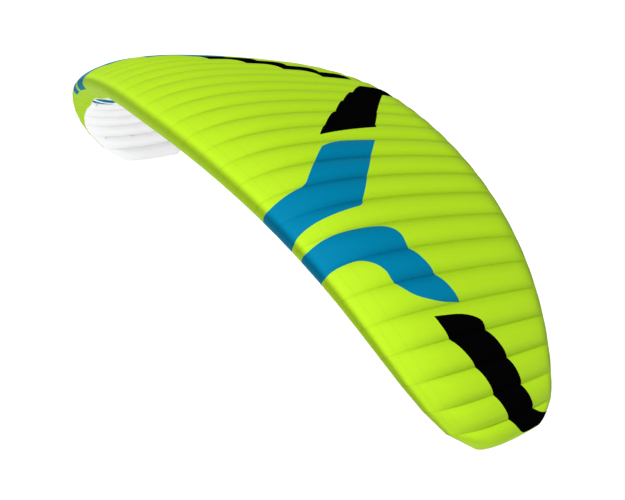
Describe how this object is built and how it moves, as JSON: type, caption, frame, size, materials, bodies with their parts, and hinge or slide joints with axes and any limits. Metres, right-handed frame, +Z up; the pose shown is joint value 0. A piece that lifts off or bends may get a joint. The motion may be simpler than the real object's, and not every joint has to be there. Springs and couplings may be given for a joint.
{
  "type": "parafoil kite",
  "caption": "Inflated ram-air foil kite: arched canopy of sewn cells with internal ribs, line loops under it, trailing edge brakes and wing tip sand hatches. The lines are left out.",
  "frame": {"origin": "on the middle rib's chord line at 30 % of the chord, where the bridle's pull passes", "axes": "+Z up, away from the pilot; leading edge towards -Y, trailing edge towards +Y; span along X with the left wing tip at +X"},
  "size_m": [5.7492, 2.2, 1.7273],
  "materials": {
    "lime_cloth": "coated ripstop nylon, lime",
    "white_cloth": "coated ripstop nylon, white",
    "blue_cloth": "coated ripstop nylon, blue",
    "black_cloth": "coated ripstop nylon, black",
    "rib_cloth": "hard-finished polyester cloth and webbing",
    "gauze": "woven polyester gauze"
  },
  "bodies": {
    "root": {"upper_skin_left_tip": "lime_cloth", "lower_skin_left_tip": "white_cloth", "upper_skin_left_outer": "lime_cloth", "lower_skin_left_outer": "white_cloth", "upper_skin_left_mid": "lime_cloth", "lower_skin_left_mid": "white_cloth", "upper_skin_left_inner": "lime_cloth", "lower_skin_left_inner": "white_cloth", "upper_skin_centre": "lime_cloth", "lower_skin_centre": "white_cloth", "upper_skin_right_inner": "lime_cloth", "lower_skin_right_inner": "white_cloth", "upper_skin_right_mid": "lime_cloth", "lower_skin_right_mid": "white_cloth", "upper_skin_right_outer": "lime_cloth", "lower_skin_right_outer": "white_cloth", "upper_skin_right_tip": "lime_cloth", "lower_skin_right_tip": "white_cloth", "intake_gauze_left": "gauze", "intake_gauze_right": "gauze", "load_rib_left_outer": "rib_cloth", "load_rib_left_mid": "rib_cloth", "load_rib_left_inner": "rib_cloth", "load_rib_left_root": "rib_cloth", "load_rib_right_root": "rib_cloth", "load_rib_right_inner": "rib_cloth", "load_rib_right_mid": "rib_cloth", "load_rib_right_outer": "rib_cloth", "rib_set_left_outer": "rib_cloth", "rib_set_left_mid": "rib_cloth", "rib_set_left_inner": "rib_cloth", "rib_set_centre": "rib_cloth", "rib_set_right_inner": "rib_cloth", "rib_set_right_mid": "rib_cloth", "rib_set_right_outer": "rib_cloth", "tip_frame_left": "rib_cloth", "tip_frame_right": "rib_cloth"},
    "sand_hatch_left": {"sand_hatch_left": "white_cloth"},
    "sand_hatch_right": {"sand_hatch_right": "white_cloth"},
    "flap_left_1": {"brake_flap_left_1": "lime_cloth"},
    "flap_right_1": {"brake_flap_right_1": "lime_cloth"},
    "flap_left_2": {"brake_flap_left_2": "lime_cloth"},
    "flap_right_2": {"brake_flap_right_2": "lime_cloth"},
    "flap_left_3": {"brake_flap_left_3": "lime_cloth"},
    "flap_right_3": {"brake_flap_right_3": "lime_cloth"},
    "flap_left_4": {"brake_flap_left_4": "lime_cloth"},
    "flap_right_4": {"brake_flap_right_4": "lime_cloth"},
    "flap_left_5": {"brake_flap_left_5": "lime_cloth"},
    "flap_right_5": {"brake_flap_right_5": "lime_cloth"},
    "flap_left_6": {"brake_flap_left_6": "lime_cloth"},
    "flap_right_6": {"brake_flap_right_6": "lime_cloth"},
    "flap_left_7": {"brake_flap_left_7": "lime_cloth"},
    "flap_right_7": {"brake_flap_right_7": "lime_cloth"},
    "flap_left_8": {"brake_flap_left_8": "lime_cloth"},
    "flap_right_8": {"brake_flap_right_8": "lime_cloth"}
  },
  "joints": [
    {"name": "brake_left_flap_1", "type": "hinge", "parent": "root", "child": "flap_left_1", "pos_m": [2.7074, 0.9581, -1.05154], "axis": [-0.4355, -0.0645, 0.8979], "range_deg": [0, 10.5], "stiffness_Nm_per_rad": 1.5},
    {"name": "brake_left_flap_2", "type": "hinge", "parent": "root", "child": "flap_left_2", "pos_m": [2.60389, 0.95129, -0.87694], "axis": [-0.5788, -0.0028, 0.8155], "range_deg": [0, 21], "stiffness_Nm_per_rad": 1.5},
    {"name": "brake_left_flap_3", "type": "hinge", "parent": "root", "child": "flap_left_3", "pos_m": [2.47242, 0.95491, -0.7176], "axis": [-0.6894, 0.0375, 0.7234], "range_deg": [0, 30], "stiffness_Nm_per_rad": 1.5},
    {"name": "brake_left", "type": "hinge", "parent": "root", "child": "flap_left_4", "pos_m": [2.31866, 0.96513, -0.5753], "axis": [-0.7733, 0.0596, 0.6313], "range_deg": [0, 30], "stiffness_Nm_per_rad": 1.5},
    {"name": "brake_left_flap_5", "type": "hinge", "parent": "root", "child": "flap_left_5", "pos_m": [2.14761, 0.97879, -0.45038], "axis": [-0.8359, 0.0689, 0.5446], "range_deg": [0, 30], "stiffness_Nm_per_rad": 1.5},
    {"name": "brake_left_flap_6", "type": "hinge", "parent": "root", "child": "flap_left_6", "pos_m": [1.96351, 0.99369, -0.34218], "axis": [-0.8822, 0.0703, 0.4655], "range_deg": [0, 30], "stiffness_Nm_per_rad": 1.5},
    {"name": "brake_left_flap_7", "type": "hinge", "parent": "root", "child": "flap_left_7", "pos_m": [1.76977, 1.00855, -0.24952], "axis": [-0.9163, 0.0676, 0.3948], "range_deg": [0, 21], "stiffness_Nm_per_rad": 1.5},
    {"name": "brake_left_flap_8", "type": "hinge", "parent": "root", "child": "flap_left_8", "pos_m": [1.56911, 1.02269, -0.171], "axis": [-0.9411, 0.0633, 0.3321], "range_deg": [0, 10.5], "stiffness_Nm_per_rad": 1.5},
    {"name": "sand_hatch_left", "type": "hinge", "parent": "root", "child": "sand_hatch_left", "pos_m": [2.79153, 0.7003, -1.52466], "axis": [-0.9993, -0.022, 0.0292], "range_deg": [0, 120]},
    {"name": "brake_right_flap_1", "type": "hinge", "parent": "root", "child": "flap_right_1", "pos_m": [-2.7074, 0.9581, -1.05154], "axis": [-0.4355, 0.0645, -0.8979], "range_deg": [0, 10.5], "stiffness_Nm_per_rad": 1.5},
    {"name": "brake_right_flap_2", "type": "hinge", "parent": "root", "child": "flap_right_2", "pos_m": [-2.60389, 0.95129, -0.87694], "axis": [-0.5788, 0.0028, -0.8155], "range_deg": [0, 21], "stiffness_Nm_per_rad": 1.5},
    {"name": "brake_right_flap_3", "type": "hinge", "parent": "root", "child": "flap_right_3", "pos_m": [-2.47242, 0.95491, -0.7176], "axis": [-0.6894, -0.0375, -0.7234], "range_deg": [0, 30], "stiffness_Nm_per_rad": 1.5},
    {"name": "brake_right", "type": "hinge", "parent": "root", "child": "flap_right_4", "pos_m": [-2.31866, 0.96513, -0.5753], "axis": [-0.7733, -0.0596, -0.6313], "range_deg": [0, 30], "stiffness_Nm_per_rad": 1.5},
    {"name": "brake_right_flap_5", "type": "hinge", "parent": "root", "child": "flap_right_5", "pos_m": [-2.14761, 0.97879, -0.45038], "axis": [-0.8359, -0.0689, -0.5446], "range_deg": [0, 30], "stiffness_Nm_per_rad": 1.5},
    {"name": "brake_right_flap_6", "type": "hinge", "parent": "root", "child": "flap_right_6", "pos_m": [-1.96351, 0.99369, -0.34218], "axis": [-0.8822, -0.0703, -0.4655], "range_deg": [0, 30], "stiffness_Nm_per_rad": 1.5},
    {"name": "brake_right_flap_7", "type": "hinge", "parent": "root", "child": "flap_right_7", "pos_m": [-1.76977, 1.00855, -0.24952], "axis": [-0.9163, -0.0676, -0.3948], "range_deg": [0, 21], "stiffness_Nm_per_rad": 1.5},
    {"name": "brake_right_flap_8", "type": "hinge", "parent": "root", "child": "flap_right_8", "pos_m": [-1.56911, 1.02269, -0.171], "axis": [-0.9411, -0.0633, -0.3321], "range_deg": [0, 10.5], "stiffness_Nm_per_rad": 1.5},
    {"name": "sand_hatch_right", "type": "hinge", "parent": "root", "child": "sand_hatch_right", "pos_m": [-2.79153, 0.7003, -1.52466], "axis": [-0.9993, 0.022, -0.0292], "range_deg": [0, 120]}
  ],
  "couplings": [
    {"joint": "brake_left_flap_1", "follows": "brake_left", "ratio": 0.35},
    {"joint": "brake_left_flap_2", "follows": "brake_left", "ratio": 0.7},
    {"joint": "brake_left_flap_3", "follows": "brake_left", "ratio": 1},
    {"joint": "brake_left_flap_5", "follows": "brake_left", "ratio": 1},
    {"joint": "brake_left_flap_6", "follows": "brake_left", "ratio": 1},
    {"joint": "brake_left_flap_7", "follows": "brake_left", "ratio": 0.7},
    {"joint": "brake_left_flap_8", "follows": "brake_left", "ratio": 0.35},
    {"joint": "brake_right_flap_1", "follows": "brake_right", "ratio": 0.35},
    {"joint": "brake_right_flap_2", "follows": "brake_right", "ratio": 0.7},
    {"joint": "brake_right_flap_3", "follows": "brake_right", "ratio": 1},
    {"joint": "brake_right_flap_5", "follows": "brake_right", "ratio": 1},
    {"joint": "brake_right_flap_6", "follows": "brake_right", "ratio": 1},
    {"joint": "brake_right_flap_7", "follows": "brake_right", "ratio": 0.7},
    {"joint": "brake_right_flap_8", "follows": "brake_right", "ratio": 0.35}
  ]
}
